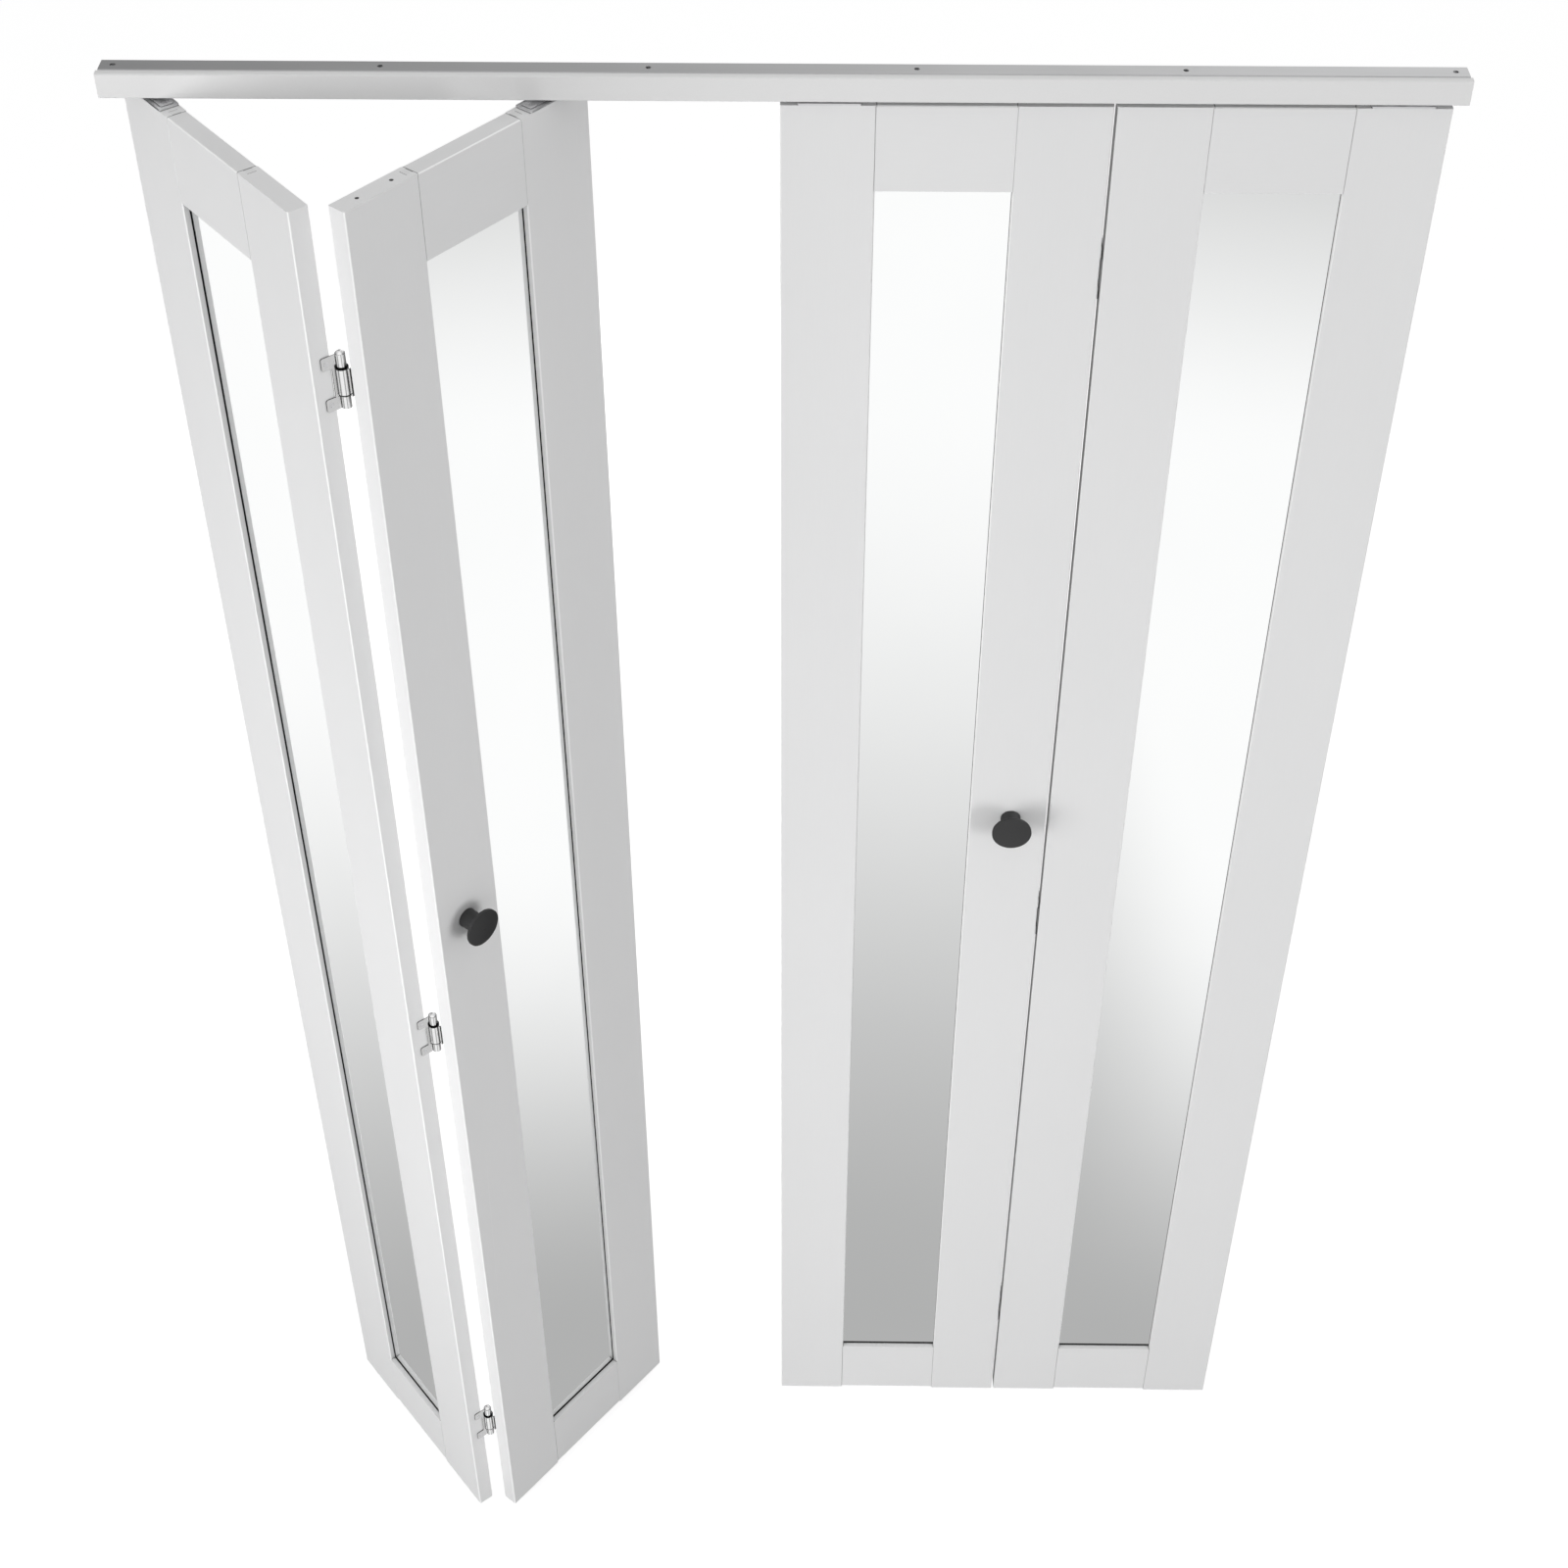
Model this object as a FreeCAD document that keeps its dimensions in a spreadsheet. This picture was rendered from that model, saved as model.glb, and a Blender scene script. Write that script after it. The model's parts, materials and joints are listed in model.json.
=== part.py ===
"""Double bifold closet door: four framed mirror panels that hang and fold under one top track.

The frame of the model: the origin is on the track's top face, in the middle of its length and on
the line that the pivot and guide pins run along. +X goes along the track, the fronts of the closed
panels face -Y, and +Z is up. All sizes are in millimetres.
"""
import FreeCAD, Part
import math
import os
import Sketcher
from FreeCAD import Placement, Rotation, Vector

# Driving dimensions: alias, value, what it is.
DIMENSIONS = [
    ("panel_width", 298.45, "width of one panel"),
    ("panel_height", 1981.2, "height of one panel"),
    ("panel_thickness", 20, "thickness of the frames"),
    ("fold_gap", 3, "gap between the two panels of a pair"),
    ("meeting_gap", 6, "gap between the two pairs when both are closed"),
    ("stile_width", 86, "width of the upright members"),
    ("top_rail_height", 85, "height of the top rail"),
    ("bottom_rail_height", 95, "height of the bottom rail"),
    ("rail_setback", 2, "how far the bottom rail stops above the stile ends"),
    ("arris", 1, "small chamfer along the long corners of the frame"),
    ("front_lip", 6, "thickness of frame in front of the mirror"),
    ("mirror_thickness", 4, "thickness of the mirror pane"),
    ("board_thickness", 5, "thickness of the backing board"),
    ("groove_depth", 8, "depth of the groove that holds mirror and board"),
    ("pane_clearance", 1, "gap between a pane's edge and the groove's bottom"),
    ("tongue_clearance", 0.5, "gap between a rail's tongue and the groove's bottom"),
    ("left_end_gap", 1.6, "from the track's left end to the closed left pair"),
    ("right_end_gap", 11.8, "from the closed right pair to the track's right end"),
    ("channel_inset", 2, "how far the channel stops short of the fascia's ends"),
    ("channel_width", 18, "outer width of the channel"),
    ("channel_depth", 24.6, "height of the channel"),
    ("channel_wall", 1.5, "wall of the channel"),
    ("lip_reach", 3, "how far each bottom lip turns in"),
    ("fascia_projection", 7, "how far the fascia stands in front of the channel"),
    ("fascia_wall", 1.5, "wall of the fascia"),
    ("fascia_drop", 1, "how far the fascia's top is below the channel's top"),
    ("header_hole_diameter", 5, "screw holes in the channel's top web"),
    ("header_hole_end", 13.6, "from each end of the track to its first screw hole"),
    ("header_hole_count", 6, "number of screw holes"),
    ("header_gap", 6, "gap between the panels' tops and the track's underside"),
    ("pin_inset", 44, "from a panel's outer edge to its pivot or guide pin"),
    ("rest_angle", 51.1, "angle that the left pair stands open at rest, degrees"),
    ("running_clearance", 0.08, "radial clearance where a pin turns in a bore"),
    ("plate_length", 58, "length of the plates on the panels' ends"),
    ("plate_thickness", 1.8, "thickness of those plates"),
    ("plate_step_height", 1, "height of the raised step on a plate"),
    ("plate_step_margin", 3.5, "width of the flat border round that step"),
    ("plate_corner", 2, "corner radius of a plate"),
    ("plate_screw_pitch", 40, "distance between the two screws of a plate"),
    ("plate_screw_diameter", 4, "shank of a plate screw"),
    ("plate_screw_head", 7.6, "head of a plate screw"),
    ("plate_screw_length", 25, "length of a plate screw"),
    ("pin_shank", 15, "length of pin inside a stile"),
    ("collar_height", 1, "height of the collar on a pivot or guide pin"),
    ("pivot_pin_diameter", 8, "top pivot pin"),
    ("pivot_collar_diameter", 12, "collar of the top pivot pin"),
    ("bracket_length", 40, "length of a pivot bracket"),
    ("bracket_height", 11, "height of a pivot bracket"),
    ("bracket_play", 0.2, "gap between a bracket and each side of the channel"),
    ("bracket_bore_inset", 16, "from a bracket's room-side end to its bore"),
    ("bracket_chamfer", 1.2, "chamfer round a bracket's top"),
    ("clamp_screw_diameter", 5, "set screw that locks a bracket"),
    ("clamp_screw_offset", 18, "from a bracket's bore to its set screw"),
    ("clamp_socket_width", 2.5, "hexagon socket of the set screw, across flats"),
    ("clamp_socket_depth", 3, "depth of that socket"),
    ("bottom_plate_width", 15, "width of the plate under a pivot stile"),
    ("bottom_pin_diameter", 7, "bottom pivot pin"),
    ("bottom_pin_length", 4.4, "length of its free end"),
    ("adjuster_width", 10, "hexagon of the bottom pivot's height adjuster"),
    ("adjuster_height", 2, "height of that hexagon"),
    ("guide_pin_diameter", 6, "guide pin"),
    ("guide_collar_diameter", 11, "collar of the guide pin on its plate"),
    ("guide_shoulder_diameter", 8.4, "shoulder that carries the roller"),
    ("guide_shoulder_height", 0.9, "height of that shoulder"),
    ("guide_head_height", 1.2, "height of the guide pin's head"),
    ("lip_to_shoulder", 0.5, "gap between the channel's lips and the shoulder"),
    ("roller_diameter", 14, "guide roller"),
    ("roller_height", 8, "height of the guide roller"),
    ("roller_play", 0.1, "gap above and below the roller"),
    ("roller_edge", 0.8, "chamfer of the roller's rims"),
    ("upper_hinge_drop", 176, "centre of the upper hinge below the panel's top"),
    ("middle_hinge_height", 942, "centre of the middle hinge above the panel's bottom"),
    ("lower_hinge_height", 176, "centre of the lower hinge above the panel's bottom"),
    ("hinge_height", 56, "overall height of a hinge's barrel"),
    ("finger_height", 13, "height of the end knuckles and their fingers"),
    ("knuckle_play", 0.8, "gap between neighbouring knuckles"),
    ("leaf_thickness", 1.2, "thickness of a hinge leaf"),
    ("leaf_reach", 10, "how far a pivot panel's leaf lies on its fold edge"),
    ("leaf_bar_gap", 0.5, "gap between the middle knuckle and the bar that joins the leaf's fingers"),
    ("leaf_corner", 2, "corner radius of a leaf"),
    ("lead_leaf_reach", 20, "how far a lead panel's leaf lies on its back"),
    ("knuckle_offset", 9.4, "hinge axis behind the panels' back faces"),
    ("end_knuckle_diameter", 9.5, "end knuckles"),
    ("middle_knuckle_diameter", 12.5, "middle knuckle"),
    ("hinge_pin_diameter", 5, "hinge pin"),
    ("hinge_pin_head", 8, "domed head of the hinge pin"),
    ("hinge_pin_dome", 3, "height of that head"),
    ("leaf_screw_diameter", 3, "shank of a hinge screw"),
    ("leaf_screw_head", 5.4, "head of a hinge screw"),
    ("leaf_screw_length", 18, "length of a hinge screw"),
    ("leaf_screw_inset", 5.2, "from a pivot panel's back face to its hinge screws"),
    ("lead_leaf_screw_inset", 13, "from a lead panel's fold edge to its hinge screws"),
    ("lead_leaf_screw_pitch", 15, "distance between the screws of a lead panel's leaf"),
    ("knob_height", 1112, "centre of a knob above the panel's bottom"),
    ("knob_inset", 40, "centre of a knob from the panel's fold edge"),
    ("knob_diameter", 44, "head of a knob"),
    ("knob_projection", 28, "how far a knob stands out"),
    ("knob_rim", 3.8, "height of the head's rim"),
    ("knob_crown", 2.4, "how far the head's face is domed"),
    ("knob_foot_diameter", 22.6, "foot of a knob on the stile"),
    ("knob_neck_diameter", 21, "neck of a knob below its head"),
    ("knob_fillet", 2.5, "curve between neck and head"),
    ("knob_edge", 1.4, "rounding of the head's rim"),
    ("knob_screw_diameter", 4, "screw that holds a knob"),
    ("knob_screw_head", 8, "head of the knob screw"),
    ("knob_screw_head_height", 2.6, "height of that head"),
    ("knob_screw_bite", 12, "length of screw inside the knob"),
]

doc = FreeCAD.newDocument("bifold_closet_door")
sheet = doc.addObject("Spreadsheet::Sheet", "sizes")


class Size:
    """A number together with the spreadsheet formula that gives it."""

    def __init__(self, value, formula):
        self.value = value
        self.formula = formula

    def __add__(self, other):
        other = as_size(other)
        return Size(self.value + other.value, f"({self.formula} + {other.formula})")

    def __sub__(self, other):
        other = as_size(other)
        return Size(self.value - other.value, f"({self.formula} - {other.formula})")

    def __mul__(self, other):
        other = as_size(other)
        return Size(self.value * other.value, f"({self.formula} * {other.formula})")

    def __truediv__(self, other):
        other = as_size(other)
        return Size(self.value / other.value, f"({self.formula} / {other.formula})")

    def __neg__(self):
        return self * -1

    __radd__ = __add__
    __rmul__ = __mul__


def as_size(number):
    """A plain number becomes a Size whose formula is the number itself."""
    return number if isinstance(number, Size) else Size(number, f"({number})")


ZERO = as_size(0)


def fill_sheet():
    """Write the driving dimensions into the spreadsheet and return them by name."""
    for row, (alias, value, meaning) in enumerate(DIMENSIONS, start=1):
        sheet.set(f"A{row}", meaning)
        sheet.set(f"B{row}", str(value))
        sheet.setAlias(f"B{row}", alias)
    doc.recompute()
    return {alias: Size(float(sheet.get(alias)), f"sizes.{alias}") for alias, _, _ in DIMENSIONS}


D = fill_sheet()


def bind(thing, property_name, size):
    """Tie a property to a spreadsheet formula."""
    thing.setExpression(property_name, as_size(size).formula)


# ---------------------------------------------------------------- bodies, sketches and features

def new_body(label):
    body = doc.addObject("PartDesign::Body", label)
    body.Label = label
    return body


def sketch_on(body, name, role, lift=ZERO):
    """A sketch on one of the body's own origin planes, lifted along the plane's normal."""
    sketch = body.newObject("Sketcher::SketchObject", name)
    plane = next(item for item in body.Origin.OriginFeatures if item.Role == role)
    sketch.AttachmentSupport = (plane, [""])
    sketch.MapMode = "FlatFace"
    bind(sketch, "AttachmentOffset.Base.z", lift)
    return sketch


def pin_point(sketch, geometry, position, x, y):
    """Hold one point of a sketch at the formulas x and y."""
    for axis, size in (("X", as_size(x)), ("Y", as_size(y))):
        name = f"{axis.lower()}_{geometry}_{position}"
        index = sketch.addConstraint(
            Sketcher.Constraint("Distance" + axis, -1, 1, geometry, position, size.value))
        sketch.renameConstraint(index, name)
        bind(sketch, "Constraints." + name, size)


def bulged_arc(start, end, radius):
    """Arc from start to end, counter-clockwise for a positive radius and clockwise for a negative."""
    chord = end - start
    half = chord.Length / 2
    rise = math.sqrt(max(radius * radius - half * half, 0))
    normal = Vector(-chord.y, chord.x, 0).normalize()
    sign = 1 if radius > 0 else -1
    centre = (start + end) / 2 + normal * rise * sign
    middle = centre - normal * abs(radius) * sign
    return Part.Arc(start, middle, end)


def outline(sketch, corners):
    """Closed outline. Each corner is (x, y), or (x, y, radius) where an arc leaves it."""
    points = [Vector(as_size(c[0]).value, as_size(c[1]).value, 0) for c in corners]
    count = len(points)
    ends = []
    for index, corner in enumerate(corners):
        start, end = points[index], points[(index + 1) % count]
        if len(corner) == 3:
            radius = as_size(corner[2])
            sketch.addGeometry(bulged_arc(start, end, radius.value), False)
            flipped = radius.value < 0
            ends.append((2, 1) if flipped else (1, 2))
            label = f"radius_{index}"
            number = sketch.addConstraint(
                Sketcher.Constraint("Radius", index, abs(radius.value)))
            sketch.renameConstraint(number, label)
            bind(sketch, "Constraints." + label, -radius if flipped else radius)
        else:
            sketch.addGeometry(Part.LineSegment(start, end), False)
            ends.append((1, 2))
    for index in range(count):
        follower = (index + 1) % count
        sketch.addConstraint(
            Sketcher.Constraint("Coincident", index, ends[index][1], follower, ends[follower][0]))
    for index, corner in enumerate(corners):
        pin_point(sketch, index, ends[index][0], corner[0], corner[1])


def rectangle(sketch, x_low, y_low, x_high, y_high):
    outline(sketch, [(x_low, y_low), (x_high, y_low), (x_high, y_high), (x_low, y_high)])


def circles(sketch, radius, centres):
    """Circles of one radius; each centre is a pair of formulas."""
    for index, (x, y) in enumerate(centres):
        centre = Vector(as_size(x).value, as_size(y).value, 0)
        sketch.addGeometry(Part.Circle(centre, Vector(0, 0, 1), as_size(radius).value), False)
        label = f"radius_{index}"
        number = sketch.addConstraint(
            Sketcher.Constraint("Radius", index, as_size(radius).value))
        sketch.renameConstraint(number, label)
        bind(sketch, "Constraints." + label, radius)
        pin_point(sketch, index, 3, x, y)


def hexagon(sketch, across_flats):
    """Regular hexagon round the sketch's origin, with two corners on its X axis."""
    flat = across_flats / 2
    corner = across_flats / math.sqrt(3)
    outline(sketch, [(corner, ZERO), (corner / 2, flat), (-corner / 2, flat),
                     (-corner, ZERO), (-corner / 2, -flat), (corner / 2, -flat)])


def pad(body, sketch, length, name="Pad"):
    feature = body.newObject("PartDesign::Pad", name)
    feature.Profile = sketch
    bind(feature, "Length", length)
    sketch.Visibility = False
    return feature


def pocket(body, sketch, depth, reverse=False, name="Pocket"):
    """Cut against the sketch's normal, or along it when reversed, and check that it cuts."""
    doc.recompute()
    before = body.Shape.Volume
    feature = body.newObject("PartDesign::Pocket", name)
    feature.Profile = sketch
    feature.Reversed = reverse
    bind(feature, "Length", depth)
    sketch.Visibility = False
    doc.recompute()
    if body.Shape.Volume >= before:
        raise RuntimeError(f"{body.Label}: {feature.Label} cuts nothing")
    return feature


def revolve(body, sketch, axis="V_Axis", name="Revolution"):
    feature = body.newObject("PartDesign::Revolution", name)
    feature.Profile = sketch
    feature.ReferenceAxis = (sketch, [axis])
    feature.Angle = 360
    sketch.Visibility = False
    return feature


def edges_where(shape, wanted):
    """Names of the edges whose middle point and direction satisfy wanted(middle, direction)."""
    names = []
    for number, edge in enumerate(shape.Edges, start=1):
        if edge.Curve.TypeId != "Part::GeomLine":
            continue
        middle = edge.valueAt((edge.FirstParameter + edge.LastParameter) / 2)
        if wanted(middle, edge.Curve.Direction):
            names.append(f"Edge{number}")
    return names


def dress(body, kind, size_property, size, wanted, name):
    """Fillet or chamfer the straight edges of the body's tip that wanted() picks."""
    doc.recompute()
    tip = body.Tip
    feature = body.newObject("PartDesign::" + kind, name)
    feature.Base = (tip, edges_where(tip.Shape, wanted))
    bind(feature, size_property, size)
    return feature


def near(a, b):
    return abs(a - b) < 1e-4


def countersink(body, sketch, diameter, head, reverse=False, name="Countersink"):
    """Through holes with 90 degree countersinks at the circles of a sketch."""
    doc.recompute()
    before = body.Shape.Volume
    feature = body.newObject("PartDesign::Hole", name)
    feature.Profile = sketch
    feature.DepthType = "ThroughAll"
    feature.Threaded = False
    feature.HoleCutType = "Countersink"
    feature.HoleCutCustomValues = True
    feature.HoleCutCountersinkAngle = 90
    feature.Reversed = reverse
    bind(feature, "Diameter", diameter)
    bind(feature, "HoleCutDiameter", head)
    sketch.Visibility = False
    doc.recompute()
    if body.Shape.Volume >= before:
        raise RuntimeError(f"{body.Label}: {feature.Label} cuts nothing")
    return feature


nodes = []


def keep(thing, place=None):
    """Place a finished sub-part and list it for export."""
    if place is not None:
        thing.Placement = place
    nodes.append(thing)
    return thing


def group(label, master_places, place):
    """One sub-part made of several equal pieces: (master, placement) pairs, linked and placed."""
    copies = []
    for number, (master, where) in enumerate(master_places, start=1):
        copy = doc.addObject("App::Link", f"{label}_copy_{number}")
        copy.LinkedObject = master
        copy.LinkTransform = False
        copy.Placement = where
        copies.append(copy)
    bundle = doc.addObject("Part::Compound", label)
    bundle.Label = label
    bundle.Links = copies
    return keep(bundle, place)


def at(x=ZERO, y=ZERO, z=ZERO, turn=None):
    """Placement from formulas and an optional rotation."""
    base = Vector(as_size(x).value, as_size(y).value, as_size(z).value)
    return Placement(base, turn or Rotation())


# ---------------------------------------------------------------- derived places

half_thickness = D["panel_thickness"] / 2
groove_width = D["mirror_thickness"] + D["board_thickness"]
groove_front = D["front_lip"] - half_thickness
groove_back = groove_front + groove_width
track_bottom = -D["channel_depth"]
lip_top = track_bottom + D["channel_wall"]
panel_top = track_bottom - D["header_gap"]
panel_bottom = panel_top - D["panel_height"]
fold_edge = D["panel_width"] - D["pin_inset"]
hinge_x = fold_edge + D["fold_gap"] / 2
hinge_y = half_thickness + D["knuckle_offset"]
opening_low = D["stile_width"] - D["pin_inset"]
opening_high = fold_edge - D["stile_width"]
opening_bottom = D["bottom_rail_height"] + D["rail_setback"]
opening_top = D["panel_height"] - D["top_rail_height"]
pair_width = D["panel_width"] * 2 + D["fold_gap"]
track_length = pair_width * 2 + D["meeting_gap"] + D["left_end_gap"] + D["right_end_gap"]
pivot_xs = {"left": D["left_end_gap"] + D["pin_inset"] - track_length / 2,
            "right": track_length / 2 - D["right_end_gap"] - D["pin_inset"]}
plate_top = D["plate_thickness"] + D["plate_step_height"]
hinge_heights = [D["panel_height"] - D["upper_hinge_drop"], D["middle_hinge_height"],
                 D["lower_hinge_height"]]
finger_start = D["hinge_height"] / 2 - D["finger_height"]


def pin_travel(fold):
    """Distance between pivot pin and guide pin when a pair stands open by fold degrees."""
    angle = math.radians(fold)
    return 2 * (hinge_x.value * math.cos(angle) + hinge_y.value * math.sin(angle))


# ---------------------------------------------------------------- the track

def make_channel():
    """Extruded channel, open below between two inturned lips, with screw holes in its web."""
    body = new_body("track_channel")
    half = D["channel_width"] / 2
    inner = half - D["channel_wall"]
    slot = inner - D["lip_reach"]
    start = D["channel_inset"] - track_length / 2
    profile = sketch_on(body, "channel_profile", "YZ_Plane", start)
    outline(profile, [
        (-half, ZERO), (-half, track_bottom), (-slot, track_bottom), (-slot, lip_top),
        (-inner, lip_top), (-inner, -D["channel_wall"]), (inner, -D["channel_wall"]),
        (inner, lip_top), (slot, lip_top), (slot, track_bottom), (half, track_bottom),
        (half, ZERO)])
    pad(body, profile, track_length - D["channel_inset"] * 2)
    first = D["header_hole_end"] - track_length / 2
    hole = sketch_on(body, "header_hole", "XY_Plane")
    circles(hole, D["header_hole_diameter"] / 2, [(first, ZERO)])
    cut = pocket(body, hole, D["channel_wall"])
    row = body.newObject("PartDesign::LinearPattern", "header_holes")
    row.Originals = [cut]
    row.Direction = (next(a for a in body.Origin.OriginFeatures if a.Role == "X_Axis"), [""])
    bind(row, "Length", track_length - D["header_hole_end"] * 2)
    bind(row, "Occurrences", D["header_hole_count"])
    body.Tip = row
    return keep(body)


def make_fascia():
    """Cover strip in front of the channel: a front wall with a return at its top and bottom."""
    body = new_body("track_fascia")
    back = -D["channel_width"] / 2
    front = back - D["fascia_projection"]
    wall = D["fascia_wall"]
    top = -D["fascia_drop"]
    profile = sketch_on(body, "fascia_profile", "YZ_Plane", -track_length / 2)
    outline(profile, [
        (back, top), (front + D["arris"], top), (front, top - D["arris"]),
        (front, track_bottom + D["arris"]), (front + D["arris"], track_bottom),
        (back, track_bottom), (back, track_bottom + wall), (front + wall, track_bottom + wall),
        (front + wall, top - wall), (back, top - wall)])
    pad(body, profile, track_length)
    return keep(body)


def make_bracket(side, outward):
    """Socket block for a top pivot pin; it stands on the lips, its long end towards the jamb."""
    body = new_body(f"{side}_pivot_bracket")
    half = D["channel_width"] / 2 - D["channel_wall"] - D["bracket_play"]
    near_end = -D["bracket_bore_inset"] * outward
    far_end = (D["bracket_length"] - D["bracket_bore_inset"]) * outward
    base = sketch_on(body, "bracket_base", "XY_Plane")
    rectangle(base, near_end, -half, far_end, half)
    pad(body, base, D["bracket_height"])
    top = D["bracket_height"].value
    dress(body, "Chamfer", "Size", D["bracket_chamfer"],
          lambda middle, _: near(middle.z, top), "top_chamfer")
    bore = sketch_on(body, "pivot_bore", "XY_Plane", D["bracket_height"])
    circles(bore, D["pivot_pin_diameter"] / 2 + D["running_clearance"], [(ZERO, ZERO)])
    pocket(body, bore, D["bracket_height"], name="pivot_bore_cut")
    clamp = sketch_on(body, "clamp_hole", "XY_Plane", D["bracket_height"])
    circles(clamp, D["clamp_screw_diameter"] / 2, [(D["clamp_screw_offset"] * outward, ZERO)])
    pocket(body, clamp, D["bracket_height"], name="clamp_hole_cut")
    return keep(body, at(pivot_xs[side], ZERO, lip_top))


def make_clamp_screws():
    """A set screw in each bracket: its tip bears on the channel's web, its socket faces down."""
    screw = new_body("clamp_screw")
    shank = sketch_on(screw, "clamp_shank", "XY_Plane")
    circles(shank, D["clamp_screw_diameter"] / 2, [(ZERO, ZERO)])
    pad(screw, shank, -D["channel_wall"] - lip_top)
    socket = sketch_on(screw, "clamp_socket", "XY_Plane")
    hexagon(socket, D["clamp_socket_width"])
    pocket(screw, socket, D["clamp_socket_depth"], reverse=True)
    places = []
    for side, outward in (("left", -1), ("right", 1)):
        x = pivot_xs[side] + D["clamp_screw_offset"] * outward
        places.append((screw, at(x, ZERO, lip_top)))
    return group("bracket_clamp_screws", places, at())


# ---------------------------------------------------------------- screws

def make_screw(label, diameter, head, length):
    """Countersunk screw along -Z, its flat head at the origin."""
    body = new_body(label)
    profile = sketch_on(body, "screw_profile", "XZ_Plane")
    radius, head_radius = diameter / 2, head / 2
    outline(profile, [(ZERO, -length), (radius, -length), (radius, radius - head_radius),
                      (head_radius, ZERO), (ZERO, ZERO)])
    revolve(body, profile)
    return body


# ---------------------------------------------------------------- the framed mirror panels

def stile_outline(edge, inward):
    """Plan of a stile from its outer edge inwards, with the groove for mirror and board."""
    inner = edge + D["stile_width"] * inward
    small = D["arris"]
    floor = inner - D["groove_depth"] * inward
    return [
        (edge + small * inward, -half_thickness), (inner - small * inward, -half_thickness),
        (inner, small - half_thickness), (inner, groove_front), (floor, groove_front),
        (floor, groove_back), (inner, groove_back), (inner, half_thickness - small),
        (inner - small * inward, half_thickness), (edge + small * inward, half_thickness),
        (edge, half_thickness - small), (edge, small - half_thickness)]


def plate_screw_xs(fold):
    """Places of the plate screws on a stile that has its pin, in panel coordinates."""
    return [D["plate_screw_pitch"] / 2 * sign * fold for sign in (-1, 1)]


def make_pin_stile(prefix, fold, place, pin_radius, bottom_pivot):
    """Stile on the pin side, bored for the pin and the plate screws at its ends."""
    body = new_body(f"{prefix}_pin_stile")
    plan = sketch_on(body, "stile_plan", "XY_Plane")
    outline(plan, stile_outline(-D["pin_inset"] * fold, fold))
    pad(body, plan, D["panel_height"])
    ends = [("top", D["panel_height"], False, pin_radius)]
    if bottom_pivot:
        ends.append(("bottom", ZERO, True, D["bottom_pin_diameter"] / 2))
    for end, height, reverse, radius in ends:
        bore = sketch_on(body, f"{end}_pin_bore", "XY_Plane", height)
        circles(bore, radius, [(ZERO, ZERO)])
        pocket(body, bore, D["pin_shank"], reverse, f"{end}_pin_cut")
        pilots = sketch_on(body, f"{end}_pilots", "XY_Plane", height)
        circles(pilots, D["plate_screw_diameter"] / 2, [(x, ZERO) for x in plate_screw_xs(fold)])
        depth = D["plate_screw_length"] - D["plate_thickness"]
        pocket(body, pilots, depth, reverse, f"{end}_pilot_cut")
    return keep(body, place)


def finger_screw_heights():
    """Heights of a pivot panel's hinge screws, in the middle of each finger, from the hinge's centre."""
    offset = (D["hinge_height"] - D["finger_height"]) / 2
    return [offset, -offset]


def lead_leaf_screw_heights():
    """Heights of a lead panel's hinge screws from the hinge's centre."""
    offset = D["lead_leaf_screw_pitch"] / 2
    return [offset, -offset]


def make_fold_stile(prefix, fold, place, pivot_side):
    """Stile on the fold side: hinge screw pilots, and the knob's hole on a lead panel."""
    body = new_body(f"{prefix}_fold_stile")
    plan = sketch_on(body, "stile_plan", "XY_Plane")
    outline(plan, stile_outline(fold_edge * fold, -fold))
    pad(body, plan, D["panel_height"])
    depth = D["leaf_screw_length"] - D["leaf_thickness"]
    if pivot_side:
        pilots = sketch_on(body, "hinge_pilots", "YZ_Plane", fold_edge * fold)
        screw_y = half_thickness - D["leaf_screw_inset"]
        circles(pilots, D["leaf_screw_diameter"] / 2,
                [(screw_y, height + offset) for height in hinge_heights
                 for offset in finger_screw_heights()])
        pocket(body, pilots, depth, fold < 0, "hinge_pilot_cut")
    else:
        pilots = sketch_on(body, "hinge_pilots", "XZ_Plane", -half_thickness)
        screw_x = (fold_edge - D["lead_leaf_screw_inset"]) * fold
        circles(pilots, D["leaf_screw_diameter"] / 2,
                [(screw_x, height + offset) for height in hinge_heights
                 for offset in lead_leaf_screw_heights()])
        pocket(body, pilots, depth, True, "hinge_pilot_cut")
        # spare pilot holes: the stile is drilled so that either end can carry a plate
        spare = sketch_on(body, "spare_pilots", "XY_Plane", D["panel_height"])
        spare_x = fold_edge - D["pin_inset"]
        circles(spare, D["plate_screw_diameter"] / 2,
                [((spare_x + x) * fold, ZERO) for x in plate_screw_xs(1)])
        pocket(body, spare, D["plate_screw_length"] - D["plate_thickness"], False, "spare_cut")
        knob_x = (fold_edge - D["knob_inset"]) * fold
        through = sketch_on(body, "knob_hole", "XZ_Plane", half_thickness)
        circles(through, D["knob_screw_diameter"] / 2, [(knob_x, D["knob_height"])])
        pocket(body, through, D["panel_thickness"], False, "knob_hole_cut")
        seat = sketch_on(body, "knob_screw_seat", "XZ_Plane", -half_thickness)
        circles(seat, D["knob_screw_head"] / 2, [(knob_x, D["knob_height"])])
        pocket(body, seat, D["knob_screw_head_height"], True, "knob_screw_seat_cut")
    return keep(body, place)


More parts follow.
